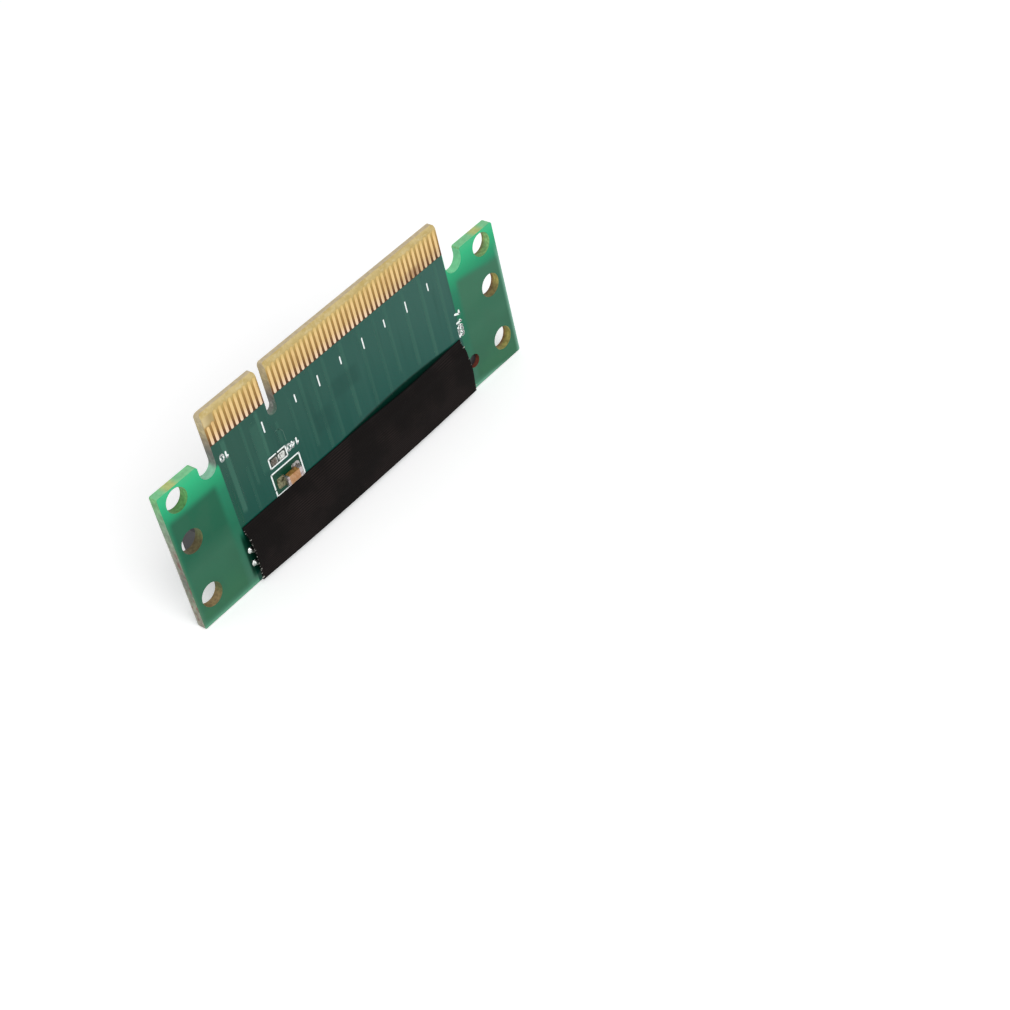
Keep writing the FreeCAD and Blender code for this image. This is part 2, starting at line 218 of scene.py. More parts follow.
def connect(tree, value, socket):
    """Feeds a socket from another node, or sets it to a number or colour."""
    if isinstance(value, Shade):
        tree.links.new(value.socket, socket)
    elif isinstance(value, tuple) and len(value) == 3 and socket.type == "RGBA":
        socket.default_value = (*value, 1.0)
    else:
        socket.default_value = value


def one_node(operation):
    """A method of Shade that works by a single maths node."""
    def method(self, *others):
        return self.maths(operation, self, *others)
    return method


class Shade:
    """A number or colour worked out by a material's nodes, used with ordinary operators."""

    def __init__(self, tree, socket):
        self.tree = tree
        self.socket = socket

    def maths(self, operation, *values):
        node = self.tree.nodes.new("ShaderNodeMath")
        node.operation = operation
        for index, value in enumerate(values):
            connect(self.tree, value, node.inputs[index])
        return Shade(self.tree, node.outputs[0])

    def __rsub__(self, other):
        return self.maths("SUBTRACT", other, self)

    __add__ = one_node("ADD")
    __sub__ = one_node("SUBTRACT")
    __mul__ = one_node("MULTIPLY")
    __truediv__ = one_node("DIVIDE")
    wave = one_node("SINE")
    size = one_node("ABSOLUTE")
    lesser = one_node("MINIMUM")
    greater = one_node("MAXIMUM")

    def rise(self, low, high):
        """0 below low, 1 above high, and smooth between."""
        node = self.tree.nodes.new("ShaderNodeMapRange")
        node.interpolation_type = "SMOOTHSTEP"
        connect(self.tree, self, node.inputs["Value"])
        connect(self.tree, low, node.inputs["From Min"])
        connect(self.tree, high, node.inputs["From Max"])
        return Shade(self.tree, node.outputs["Result"])

    def fall(self, low, high):
        """1 below low, 0 above high, and smooth between."""
        return 1 - self.rise(low, high)

    def within(self, low, high, soft):
        """1 between low and high, 0 outside, with soft borders."""
        return self.rise(low - soft, low + soft) * self.fall(high - soft, high + soft)


class Finish:
    """One material: its shader, and the places and patterns that drive it. Lengths are in millimetres."""

    def __init__(self, name, roughness, metallic=0.0, specular=0.5):
        self.material = bpy.data.materials.new(name)
        self.material.use_nodes = True
        self.tree = self.material.node_tree
        self.shader = self.tree.nodes["Principled BSDF"]
        self.shader.inputs["Roughness"].default_value = roughness
        self.shader.inputs["Metallic"].default_value = metallic
        self.shader.inputs["Specular IOR Level"].default_value = specular
        coordinates = self.tree.nodes.new("ShaderNodeTexCoord")
        scale = self.tree.nodes.new("ShaderNodeVectorMath")
        scale.operation = "SCALE"
        scale.inputs["Scale"].default_value = 1 / MM
        self.tree.links.new(coordinates.outputs["Object"], scale.inputs[0])
        self.place = Shade(self.tree, scale.outputs[0])
        self.x, self.y, self.z = self.parts(self.place)
        geometry = self.tree.nodes.new("ShaderNodeNewGeometry")
        _, self.facing_y, self.facing_z = self.parts(Shade(self.tree, geometry.outputs["Normal"]))

    def parts(self, vector):
        node = self.tree.nodes.new("ShaderNodeSeparateXYZ")
        connect(self.tree, vector, node.inputs[0])
        return [Shade(self.tree, node.outputs[index]) for index in range(3)]

    def inside(self, box, soft):
        """1 inside a box of left, right, bottom and top, with soft borders."""
        left, right, bottom, top = box
        return self.x.within(left, right, soft) * self.z.within(bottom, top, soft)

    def weave(self):
        """Places across and along a woven sheet, from 0 to 1, kept in its map."""
        node = self.tree.nodes.new("ShaderNodeUVMap")
        node.uv_map = "weave"
        along, across, _ = self.parts(Shade(self.tree, node.outputs["UV"]))
        return across, along

    def noise(self, scale, detail=2.0, stretch=(1.0, 1.0, 1.0), shift=(0.0, 0.0, 0.0)):
        """Cloudy pattern from 0 to 1; scale is how many clouds a millimetre holds."""
        moved = self.tree.nodes.new("ShaderNodeVectorMath")
        moved.operation = "MULTIPLY_ADD"
        connect(self.tree, self.place, moved.inputs[0])
        moved.inputs[1].default_value = stretch
        moved.inputs[2].default_value = shift
        node = self.tree.nodes.new("ShaderNodeTexNoise")
        node.inputs["Scale"].default_value = scale
        node.inputs["Detail"].default_value = detail
        self.tree.links.new(moved.outputs[0], node.inputs["Vector"])
        return Shade(self.tree, node.outputs["Fac"])

    def mix(self, share, first, second):
        """Colour that goes from first to second as share goes from 0 to 1."""
        node = self.tree.nodes.new("ShaderNodeMix")
        node.data_type = "RGBA"
        connect(self.tree, share, node.inputs["Factor"])
        connect(self.tree, first, node.inputs[6])
        connect(self.tree, second, node.inputs[7])
        return Shade(self.tree, node.outputs[2])

    def blends(self, base, *layers):
        """base with each (share, colour) laid over it in turn."""
        result = base
        for share, colour in layers:
            result = self.mix(share, result, colour)
        return result

    def ramp(self, value, stops):
        """Colour that runs through the stops, each (position, colour), as value rises."""
        low, high = stops[0][0], stops[-1][0]
        share = (value - low) / (high - low)
        node = self.tree.nodes.new("ShaderNodeValToRGB")
        connect(self.tree, share, node.inputs["Fac"])
        bands = node.color_ramp.elements
        while len(bands) < len(stops):
            bands.new(0.5)
        for band, (position, colour) in zip(bands, stops):
            band.position = (position - low) / (high - low)
            band.color = (*colour, 1.0)
        return Shade(self.tree, node.outputs["Color"])

    def shaded(self, colour, amount):
        """colour made darker or lighter by the factor amount."""
        node = self.tree.nodes.new("ShaderNodeMix")
        node.data_type = "RGBA"
        node.blend_type = "MULTIPLY"
        node.inputs["Factor"].default_value = 1.0
        connect(self.tree, colour, node.inputs[6])
        grey = self.tree.nodes.new("ShaderNodeCombineColor")
        for index in range(3):
            connect(self.tree, amount, grey.inputs[index])
        self.tree.links.new(grey.outputs[0], node.inputs[7])
        return Shade(self.tree, node.outputs[2])

    def roughness(self, value):
        connect(self.tree, value, self.shader.inputs["Roughness"])

    def finished(self, colour, height, depth_mm, strength=0.5):
        """The material, with its colour and relief: height goes from 0 to 1 and stands for depth_mm."""
        connect(self.tree, colour, self.shader.inputs["Base Color"])
        node = self.tree.nodes.new("ShaderNodeBump")
        node.inputs["Strength"].default_value = strength
        node.inputs["Distance"].default_value = depth_mm * MM
        connect(self.tree, height, node.inputs["Height"])
        self.tree.links.new(node.outputs[0], self.shader.inputs["Normal"])
        return self.material


# Places on the board's two faces, in millimetres.
MASK_TOP = FINGER_FOOT - 0.05
FIRST_SIDE = FIRST - 0.65  # the two sides of the connector's tongue
LAST_SIDE = LAST + 0.65
TRACE_FIELD = (FIRST - 0.35, LAST + 0.6)
FIRST_PLANE = (board_low.x + 0.5, FIRST - 2.1)  # copper planes under the mask
LAST_PLANE = (LAST + 2.2, board_high.x - 0.4)
PLANE_HEIGHTS = (0.9, 20.2)
# Printed boxes round the capacitor and round the empty lands: left, right, bottom, top.
BIG_BOX = (FIRST + 7.6, FIRST + 13.6, 10.6, 14.65)
SMALL_BOX = (FIRST + 8.0, FIRST + 11.6, 15.6, 17.4)
SCREW_COLUMNS = (board_low.x + 3.15, board_high.x - 3.15)
# Broad traces under the mask: distance from the first contact, width, how much they show, bottom, top.
BROAD_TRACES = (
    (1.45, 0.85, 0.75, 12.6, 26.0), (4.1, 0.5, 0.2, 11.0, 19.0), (5.2, 0.5, 0.35, 15.0, 26.0),
    (7.3, 1.5, 0.35, 15.8, 24.4), (8.4, 0.6, 0.75, 17.8, 26.0), (11.4, 0.5, 0.3, 18.2, 22.0),
    (14.8, 0.5, 0.2, 18.0, 24.0), (17.6, 0.6, 0.32, 13.0, 26.0), (20.1, 0.6, 0.28, 11.0, 26.0),
    (22.7, 0.6, 0.28, 11.0, 26.0), (26.7, 0.7, 0.38, 12.0, 26.0), (30.7, 0.6, 0.24, 11.0, 26.0),
    (34.0, 0.6, 0.2, 11.0, 26.0), (36.7, 0.6, 0.3, 13.5, 26.0), (40.8, 0.7, 0.34, 12.0, 26.0),
    (44.7, 0.7, 0.46, 11.0, 26.0), (48.6, 0.6, 0.38, 11.0, 26.0),
)
DARK_MASK = (0.004, 0.06, 0.045)


def trace_field_colour(look, on_front):
    """Mask over the traces, with broad bands of them, and boxes and dark patches on the front alone."""
    x, z = look.x, look.z
    lower = look.ramp(x, ((FIRST, (0.0, 0.072, 0.05)), (0.0, (0.002, 0.076, 0.057)),
                          (LAST, (0.014, 0.099, 0.076))))
    upper = look.ramp(x, ((FIRST, (0.019, 0.088, 0.062)), (0.0, (0.018, 0.095, 0.072)),
                          (LAST, (0.03, 0.117, 0.09))))
    field = look.mix(z.rise(11.0, 23.5), lower, upper)
    streaks = look.noise(0.7, 3.0, stretch=(1.0, 1.0, 0.05))
    field = look.mix(streaks.rise(0.45, 0.8) * 0.35, field, (0.028, 0.112, 0.086))
    duller = look.noise(0.5, 2.0, stretch=(1.0, 1.0, 0.08), shift=(31.0, 0.0, 0.0))
    field = look.mix(duller.rise(0.5, 0.7) * z.within(13.0, 23.0, 3.0) * 0.45, field, DARK_MASK)
    for offset, width, strength, bottom, top in BROAD_TRACES:
        middle = FIRST + offset
        band = x.within(middle - width / 2, middle + width / 2, 0.18) * z.within(bottom, top, 0.5)
        field = look.mix(band * strength, field, (0.04, 0.15, 0.104))
    left_edge = x.within(FIRST - 0.3, FIRST + 0.85, 0.15) * z.fall(12.0, 22.0)
    field = look.mix(left_edge * 0.8, field, (0.0, 0.078, 0.044))
    left_patch = x.within(FIRST + 18.2, FIRST + 21.8, 0.5) * z.within(14.5, 18.2, 0.7)
    right_patch = x.within(FIRST + 22.8, FIRST + 28.6, 0.8) * z.within(17.8, 21.0, 0.7)
    field = look.mix((left_patch + right_patch) * on_front * 0.45, field, DARK_MASK)
    field = look.mix(look.inside(BIG_BOX, 0.1) * on_front * 0.75, field, (0.003, 0.048, 0.02))
    return look.mix(look.inside(SMALL_BOX, 0.1) * on_front * 0.85, field, (0.03, 0.04, 0.03))


def plane_colour(look):
    """Mask over the copper planes: dull and cloudy, and paler high up at the last end."""
    x, z = look.x, look.z
    planes = look.ramp(z, (
        (2.0, (0.03, 0.152, 0.073)), (6.0, (0.025, 0.143, 0.075)), (10.0, (0.028, 0.145, 0.08)),
        (13.5, (0.004, 0.11, 0.055)), (19.0, (0.007, 0.124, 0.062)),
    ))
    cloud = look.noise(0.22, 3.0)
    planes = look.mix(cloud.rise(0.4, 0.65) * 0.4, planes, (0.026, 0.124, 0.068))
    return look.mix(x.rise(0.0, 5.0) * z.rise(5.0, 18.0) * 0.8, planes, (0.042, 0.178, 0.098))


def painted_glow_colour(look):
    """Mask over bare laminate: its own green, with painted glow of light through the laminate that is
    brightest at the ears' tops, painted light along the ends and a painted highlight along the lower rim.
    """
    x, z = look.x, look.z
    # Painted glow of light coming through the laminate: brighter towards the ears' tops, and brighter over
    # the lower rim.
    glow = look.ramp(z, (
        (0.3, (0.07, 0.26, 0.155)), (1.5, (0.045, 0.17, 0.105)), (12.0, (0.006, 0.155, 0.08)),
        (18.5, (0.01, 0.21, 0.108)), (20.8, (0.012, 0.32, 0.145)), (23.8, (0.026, 0.485, 0.215)),
        (25.0, (0.05, 0.51, 0.23)),
    ))
    # Painted light along both ends of the board, stronger at the last end.
    to_end = (x.size() - board_high.x).size()
    end = look.mix(x.rise(0.0, 5.0), (0.095, 0.215, 0.125), (0.22, 0.47, 0.35))
    glow = look.mix(to_end.fall(0.1, 1.0) * z.fall(17.0, 22.5), glow, end)
    # Painted highlight along the lower rim.
    rim = look.mix(x.rise(0.0, 50.0), (0.15, 0.42, 0.27), (0.27, 0.57, 0.43))
    return look.mix(z.fall(0.15, 0.75) * 0.6, glow, rim)


def mask_colour(look):
    """Solder mask: its own green, bright with painted glow over bare laminate, dull over copper planes,
    dark over traces, and darkened by painted shade and a painted reflection of the tape beside and above
    it.
    """
    x, z = look.x, look.z
    on_front = look.facing_y.fall(-0.5, 0.5)
    beside_first = x.within(FIRST_SIDE - 0.3, FIRST, 0.1) * z.rise(22.4, 23.2)
    in_traces = (x.within(*TRACE_FIELD, 0.12) + beside_first).lesser(1.0)
    # The plane's top is lower at the last end, so heights count for more there.
    height = z + x.rise(FIRST + 52.0, FIRST + 61.5) * 1.3
    in_planes = x.within(*FIRST_PLANE, 0.6) + x.within(*LAST_PLANE, 0.6)
    in_planes = in_planes * height.within(*PLANE_HEIGHTS, 0.8)
    mask = look.blends(painted_glow_colour(look), (in_planes, plane_colour(look)),
                       (in_traces, trace_field_colour(look, on_front)))
    # Painted shade and a painted reflection of the black tape: left of its end, and in a band above its
    # lifted top edge.
    shade_beside_tape = (x.within(FIRST - 1.0, tape_low.x + 0.9, 0.25)
                   * z.within(1.6, tape_high.z - 1.3, 1.1))
    off_lift = (x - (FIRST + 35.0)) / 17.0
    over_tape = z - tape_high.z + 0.2 + off_lift * off_lift * 1.4
    shade_above_tape = over_tape.fall(0.8, 1.3) * z.rise(9.0, 9.5)
    shade_above_tape = shade_above_tape * x.within(FIRST + 20, LAST - 2, 2.0)
    shade = (shade_beside_tape + shade_above_tape).lesser(1.0)
    return look.mix(shade * on_front * 0.85, mask, (0.001, 0.016, 0.009))


def hole_wall_colour(look):
    """Drilled walls: olive near the front, red-brown deeper down, greener in the upper holes."""
    x, z = look.x, look.z
    depth = look.y.rise(-0.1, 0.75)
    first_end = x.fall(0.0, 1.0)
    low = look.mix(depth, (0.5, 0.46, 0.14), (0.3, 0.17, 0.07))
    low = look.mix(first_end * 0.85, low, (0.1, 0.14, 0.055))
    high = look.mix(depth, (0.34, 0.64, 0.25), (0.3, 0.31, 0.12))
    high = look.mix(first_end * 0.75, high, (0.11, 0.42, 0.12))
    wall = look.mix(z.rise(18.0, 21.5), low, high)
    facing_up = look.facing_z.rise(0.1, 0.9)
    ochre = facing_up * z.fall(7.0, 9.0) * first_end
    wall = look.mix(ochre * 0.85, wall, (0.52, 0.36, 0.17))
    brown = facing_up * z.within(10.0, 18.0, 1.0)
    wall = look.mix(brown * 0.6, wall, (0.2, 0.13, 0.07))
    grain = look.noise(2.0, 3.0).rise(0.3, 0.7) * 0.5 + 0.75
    return look.shaded(wall, grain * (1 - facing_up * 0.4))


def cut_edge_colour(look):
    """Routed edges of the laminate: clear green with painted glow at the ears' tops and notches, and
    gold-brown at the connector.
    """
    x, y, z = look.x, look.y, look.z
    ends = look.ramp(z, (
        (1.0, (0.37, 0.35, 0.28)), (5.0, (0.31, 0.33, 0.24)), (9.0, (0.19, 0.21, 0.17)),
        (14.0, (0.34, 0.34, 0.27)), (20.0, (0.27, 0.42, 0.28)), (24.5, (0.22, 0.56, 0.23)),
    ))
    flecks = look.noise(0.8, 2.0, stretch=(1.0, 3.0, 1.0)).rise(0.54, 0.62) * z.fall(13.0, 18.0)
    ends = look.mix(flecks * 0.7, ends, (0.24, 0.07, 0.06))
    ends = look.mix(y.rise(0.5, 0.65) * z.fall(15.0, 20.0) * 0.8, ends, (0.66, 0.66, 0.6))
    tongue = look.ramp(z, (
        (22.5, (0.24, 0.29, 0.25)), (25.0, (0.2, 0.2, 0.18)), (27.0, (0.37, 0.3, 0.21)),
        (29.0, (0.57, 0.47, 0.26)), (31.5, (0.64, 0.53, 0.33)), (31.9, (0.61, 0.5, 0.32)),
    ))
    edge = look.mix(x.within(FIRST_SIDE - 0.3, LAST_SIDE + 0.3, 0.1), ends, tongue)
    # Painted glow of light through the laminate on the ears' tops, yellower round the screw holes.
    top = (0.23, 0.62, 0.31)
    for column in SCREW_COLUMNS:
        top = look.mix(x.within(column - 1.0, column + 1.0, 0.7), top, (0.5, 0.58, 0.22))
    ear_top_glow = look.facing_z.rise(0.6, 0.8) * z.rise(24.6, 24.9) * z.fall(25.4, 25.8)
    edge = look.mix(ear_top_glow, edge, top)
    # Painted glow of light through the laminate on the cut faces of the two side notches.
    first_notch = x.within(FIRST_SIDE - 3.6, FIRST_SIDE - 0.2, 0.2) * z.within(21.3, 24.6, 0.2)
    edge = look.mix(first_notch * 0.85, edge, (0.31, 0.62, 0.46))
    last_notch = x.within(LAST_SIDE, LAST_SIDE + 4.1, 0.1) * z.within(21.3, 24.9, 0.1)
    edge = look.mix(last_notch * 0.9, edge, (0.22, 0.72, 0.38))
    key = x.within(FIRST + BEFORE_KEY - 0.5, FIRST_AFTER_KEY, 0.1) * z.within(21.5, 25.4, 0.8)
    edge = look.mix(key * y.fall(-0.5, 0.1) * 0.7, edge, (0.09, 0.19, 0.14))
    edge = look.mix(key * look.noise(1.8, 2.0).rise(0.55, 0.7) * 0.6, edge, (0.42, 0.44, 0.4))
    peg_hole = x.within(LAST + 0.7, LAST + 3.3, 0.05) * z.within(3.4, 6.2, 0.1)
    edge = look.mix(peg_hole, edge, (0.2, 0.055, 0.035))
    lower_down = 1 - (z.rise(30.0, 31.8) + last_notch + first_notch + ear_top_glow).lesser(1.0) * 0.55
    worn = look.noise(1.4, 4.0).rise(0.3, 0.75) * lower_down * 0.45 + (1 - lower_down * 0.24)
    return look.shaded(edge, worn)


def bare_colour(look):
    """Bare laminate between the fingers, brown with painted shade low down and painted glow and a painted
    gold reflection higher up, and the gold-beige bevel above them.
    """
    x, z = look.x, look.z
    # Laminate brown with painted shade low between the fingers, lightening upwards with painted glow
    # through the laminate and a painted reflection of the gold.
    bare = look.ramp(z, (
        (26.5, (0.085, 0.032, 0.012)), (27.2, (0.165, 0.075, 0.026)), (28.5, (0.32, 0.18, 0.055)),
        (30.0, (0.42, 0.26, 0.078)), (30.8, (0.52, 0.36, 0.12)), (31.2, (0.58, 0.44, 0.18)),
    ))
    above_short = x.within(FIRST - 0.6, FIRST + 1.5, 0.15) * z.rise(29.3, 30.0)
    over_fingers = look.ramp(x, ((FIRST - 0.3, (0.66, 0.53, 0.28)),
                                 (FIRST + 0.9, (0.46, 0.35, 0.16))))
    bare = look.mix(above_short, bare, over_fingers)
    mottle = look.noise(0.9, 4.0)
    bevel = look.mix(mottle.rise(0.3, 0.7), (0.51, 0.38, 0.14), (0.62, 0.49, 0.23))
    bevel = look.mix(look.noise(2.2, 3.0).rise(0.5, 0.7) * 0.35, bevel, (0.7, 0.6, 0.36))
    return look.mix(z.rise(31.1, 31.35), bare, bevel)


def board_finish():
    """Solder mask, bare laminate at the connector, cut edges and drilled walls."""
    look = Finish("solder_mask_on_laminate", roughness=0.2, specular=0.16)
    bare = look.z.rise(MASK_TOP - 0.03, MASK_TOP + 0.03)
    face = look.mix(bare, mask_colour(look), bare_colour(look))
    near_hole = 0.0
    for column in SCREW_COLUMNS:
        near_hole = look.x.within(column - 2.1, column + 2.1, 0.02) + near_hole
    near_hole = near_hole * look.z.within(1.0, 24.95, 0.05)
    edge = look.mix(near_hole, cut_edge_colour(look), hole_wall_colour(look))
    on_face = look.facing_y.size().rise(0.4, 0.6)
    gloss = look.noise(2.0).rise(0.2, 0.8) * 0.1 + 0.14
    look.roughness(gloss + ((1 - on_face) + bare).lesser(1.0) * 0.35)
    return look.finished(look.mix(on_face, edge, face), look.noise(1.5, 3.0), 0.006, 0.4)


def gold_finish():
    """Hard gold worn in fine lines by plugging, pinker at each finger's foot and duller at its top."""
    look = Finish("worn_gold", roughness=0.3, metallic=1.0)
    x, z = look.x, look.z
    lines = look.noise(5.0, 3.0, stretch=(1.0, 1.0, 0.06))
    base = look.ramp(z, (
        (26.4, (0.86, 0.66, 0.5)), (27.2, (0.87, 0.63, 0.4)), (28.2, (0.79, 0.56, 0.27)),
        (30.2, (0.8, 0.57, 0.26)), (31.0, (0.68, 0.5, 0.2)),
    ))
    base = look.mix(lines.rise(0.45, 0.75) * 0.3, base, (0.6, 0.38, 0.15))
    foot = z.fall(27.4, 28.6)
    last_feet = x.rise(FIRST + 35.0, FIRST + 40.0) * foot
    base = look.mix(last_feet * 0.5, base, (0.56, 0.4, 0.2))
    smudge = x.within(FIRST + 43.0, FIRST + 45.3, 0.7) * foot
    smudge = smudge * look.y.fall(-0.5, 0.5)  # on the front alone
    base = look.mix(smudge * 0.6, base, (0.26, 0.12, 0.06))
    patches = look.noise(0.8, 2.0, stretch=(1.0, 1.0, 0.3))
    base = look.mix(patches.rise(0.5, 0.75) * 0.6, base, (0.58, 0.37, 0.14))
    look.roughness(lines * 0.25 + 0.2)
    return look.finished(base, lines, 0.006)


def tin_finish(name, colour, roughness, stain, stained, scale, further=None):
    """Solder or tin, stained in patches. further is (position, colour): another colour from there on."""
    look = Finish(name, roughness=roughness, metallic=1.0)
    dull = look.noise(scale, 3.0)
    if further:
        place, other = further
        colour = look.mix((look.x + dull).rise(place + 0.3, place + 0.7), colour, other)
    colour = look.mix(dull.rise(0.45, 0.65) * stained, colour, stain)
    look.roughness(dull * 0.3 + roughness - 0.1)
    return look.finished(colour, look.noise(2.0 * scale, 3.0), 0.012, 0.6)


def contact_finish():
    """Gold where the card touches, tin on the tails."""
    look = Finish("spring_contact", roughness=0.3, metallic=1.0)
    grain = look.noise(8.0, 2.0, stretch=(1.0, 0.1, 1.0))
    tail = look.y.fall(0.6, 1.4)
    colour = look.blends((0.83, 0.6, 0.3), (tail, (0.7, 0.69, 0.66)),
                         (grain.rise(0.5, 0.8) * 0.25, (0.45, 0.36, 0.22)))
    return look.finished(colour, grain, 0.004, 0.4)


def housing_finish():
    """Black moulded plastic with a fine eroded texture and pale glass fibres."""
    look = Finish("black_moulding", roughness=0.5, specular=0.4)
    grain = look.noise(5.0, 4.0)
    fibres = look.noise(4.0, 2.0, stretch=(0.25, 1.0, 1.0)).rise(0.68, 0.75)
    colour = look.blends((0.017, 0.017, 0.019), (grain.rise(0.4, 0.8) * 0.6, (0.026, 0.026, 0.028)),
                         (fibres * 0.35, (0.06, 0.06, 0.06)))
    look.roughness(grain * 0.25 + 0.36)
    return look.finished(colour, grain, 0.02)


RIDGES = 27
THREADS = round((tape_high.x - tape_low.x) / 0.42)


def cloth_finish():
    """Black-brown woven tape, matte: pale-crested ridges crossed by browner threads, worn in patches."""
    look = Finish("woven_tape", roughness=0.9, specular=0.08)
    across, along = look.weave()
    ridge = (across * (math.pi * RIDGES)).wave().size()
    threads = (along * (2 * math.pi * THREADS)).wave().rise(-0.2, 1.0)
    worn = look.noise(0.16, 3.0).rise(0.4, 0.62)
    fuzz = look.noise(7.0, 3.0)
    colour = look.blends((0.0075, 0.0065, 0.0062),
                         (ridge.rise(0.55, 1.0) * worn * 0.8, (0.026, 0.019, 0.018)),
                         (threads * ridge * 0.35, (0.018, 0.012, 0.011)),
                         (fuzz.rise(0.6, 0.85) * 0.4, (0.026, 0.022, 0.02)))
    return look.finished(colour, fuzz, 0.02, 0.6)


def thread_finish():
    """Pale cut ends of the tape's threads."""
    look = Finish("cut_threads", roughness=0.8, specular=0.15)
    fuzz = look.noise(2.5, 2.0)
    colour = look.mix(fuzz.rise(0.42, 0.6), (0.05, 0.05, 0.045), (0.55, 0.55, 0.5))
    return look.finished(colour, fuzz, 0.02, 0.6)


def ceramic_finish():
    """Orange fired ceramic, mottled, with painted shade making its long sides darker and browner."""
    look = Finish("fired_ceramic", roughness=0.45, specular=0.3)
    mottle = look.noise(2.5, 4.0)
    # The lit front, and a painted-shade copy of the same ceramic for the long sides facing along Z.
    front = look.mix(mottle.rise(0.4, 0.7), (0.42, 0.2, 0.08), (0.52, 0.3, 0.16))
    side = look.mix(mottle.rise(0.35, 0.65), (0.22, 0.1, 0.025), (0.36, 0.2, 0.05))
    return look.finished(look.mix(look.facing_z.size().rise(0.5, 0.8), front, side), mottle, 0.012)


def ink_finish():
    """White printed ink, a little speckled."""
    look = Finish("white_ink", roughness=0.55, specular=0.3)
    speckle = look.noise(8.0, 3.0)
    colour = look.mix(speckle.rise(0.6, 0.85) * 0.35, (0.94, 0.99, 0.97), (0.74, 0.84, 0.8))
    return look.finished(colour, speckle, 0.008)


def trace_finish():
    """Solder mask where it lies over a single trace."""
    look = Finish("mask_over_trace", roughness=0.32, specular=0.25)
    streaks = look.noise(1.2, 3.0, stretch=(1.0, 1.0, 0.05))
    colour = look.mix(streaks.rise(0.4, 0.7), (0.036, 0.112, 0.086), (0.052, 0.145, 0.108))
    return look.finished(colour, look.noise(1.5, 3.0), 0.01, 0.4)


# ---- Pieces ----


FINGER_INSET = 0.08  # the visible gold is this much narrower on each side than the plain solid
FINGER_RADIUS = 0.26


def make_fingers(name, face_y, outwards, short, numbers, material):
    """One group of edge fingers, replacing its plain solids. short says how much some are cut down."""
    mould = Mould()
    low, high = box_mm("edge_" + name)
    half = FINGER_WIDTH / 2 - FINGER_INSET
    for number in numbers:
        x = contact_x(number)
        top = high.z - short.get(number, 0.0)
        add_pad(mould, (x - half, x + half), (low.z, top), FINGER_RADIUS, face_y, outwards, GOLD)
    piece = mould.make("gold_" + name, material)
    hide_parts("edge_" + name)


def tail_row(number):
    """Distance of a contact's tail from the slot's middle: odd ones are in the inner row."""
    return INNER_ROW if number % 2 else OUTER_ROW


JOINT_HEIGHT = 0.6
JOINT_NECK = 0.23  # radius where the cone ends round the tail
JOINT_FLARE = 0.37  # how much wider its foot is
JOINT_TIP = 0.15


def add_solder_joint(mould, x, z, wobble):
    """Concave cone of solder round one tail."""
    loops = []
    for share in (0.0, 0.04, 0.2, 0.4, 0.6, 0.8, 0.95, 1.0):
        radius = JOINT_NECK + (JOINT_FLARE + wobble.uniform(-0.02, 0.02)) * (1 - share) ** 2
        if share == 1.0:
            radius = JOINT_TIP
        height = JOINT_HEIGHT * (share if share < 0.95 else 0.93 + 0.07 * share)
        loops.append([(x + radius * math.cos(a), FRONT - height, z + radius * math.sin(a))
                      for a in (2 * math.pi * step / 16 for step in range(16))])
    mould.loft(loops)


def make_solder(side, odd, material):
    """The joints of one tail row, upper or lower, inner or outer."""
    wobble = random.Random(11)
    mould = Mould()
    sign = 1 if side == "upper" else -1
    for number in range(1, CONTACTS + 1):
        if bool(number % 2) == odd:
            add_solder_joint(mould, contact_x(number), SLOT_HEIGHT + sign * tail_row(number), wobble)
    row = "inner" if odd else "outer"
    piece = mould.make(f"solder_{side}_{row}", material, smooth_angle=60)
    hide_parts(f"solder_joints_{side}_{row}")


# Shape of the tape: fraction of the length, outward bow of the lower edge, lift of the top edge.
TAPE_PLACES = ((0.0, 0.0, 0.0), (0.2, 0.3, 0.0), (0.5, 0.45, 0.1), (0.75, 0.4, 0.55), (1.0, 0.15, 0.0))
TAPE_THICKNESS = 0.25
TAPE_STUCK = 0.6  # height of the strip that sticks to the board
TAPE_OVER_TAILS = 0.85  # from the board's face
TAPE_TUCK = 0.05  # how much closer to the board the tape is beyond the tails
TAPE_CROWN = 0.3  # further out between the two inner rows
RIDGE_DEPTH = 0.07
RIDGE_ROUNDNESS = 0.7
THREAD_DEPTH = 0.03
THREAD_STEPS = 3  # mesh columns to a thread
RIDGE_STEPS = 5  # mesh rows to a ridge
UNDER_STEP = 15  # rows of the woven side to one row of the sticky side


def tape_inside(bow, lift):
    """Inside of the tape from its top edge to its bottom edge: height, and distance from the board."""
    upper = SLOT_HEIGHT + OUTER_ROW
    lower = SLOT_HEIGHT - OUTER_ROW
    return (
        (tape_high.z, lift),
        (tape_high.z - TAPE_STUCK, lift),
        (upper + INNER_ROW / 2, TAPE_OVER_TAILS - TAPE_TUCK + lift / 2),
        (upper - INNER_ROW / 2, TAPE_OVER_TAILS + TAPE_CROWN / 3 + bow / 3),
        (SLOT_HEIGHT + INNER_ROW, TAPE_OVER_TAILS + TAPE_CROWN + bow * 2 / 3),
        (lower, TAPE_OVER_TAILS + bow),
        (tape_low.z, TAPE_OVER_TAILS - TAPE_TUCK + bow),
    )


def tape_section(bow, lift):
    """The same points, and how far along the section each of them is, from 0 to 1."""
    section = np.array(tape_inside(bow, lift))
    steps = np.hypot(*np.diff(section, axis=0).T)
    reach = np.concatenate([[0], np.cumsum(steps)]) / steps.sum()
    return section, reach


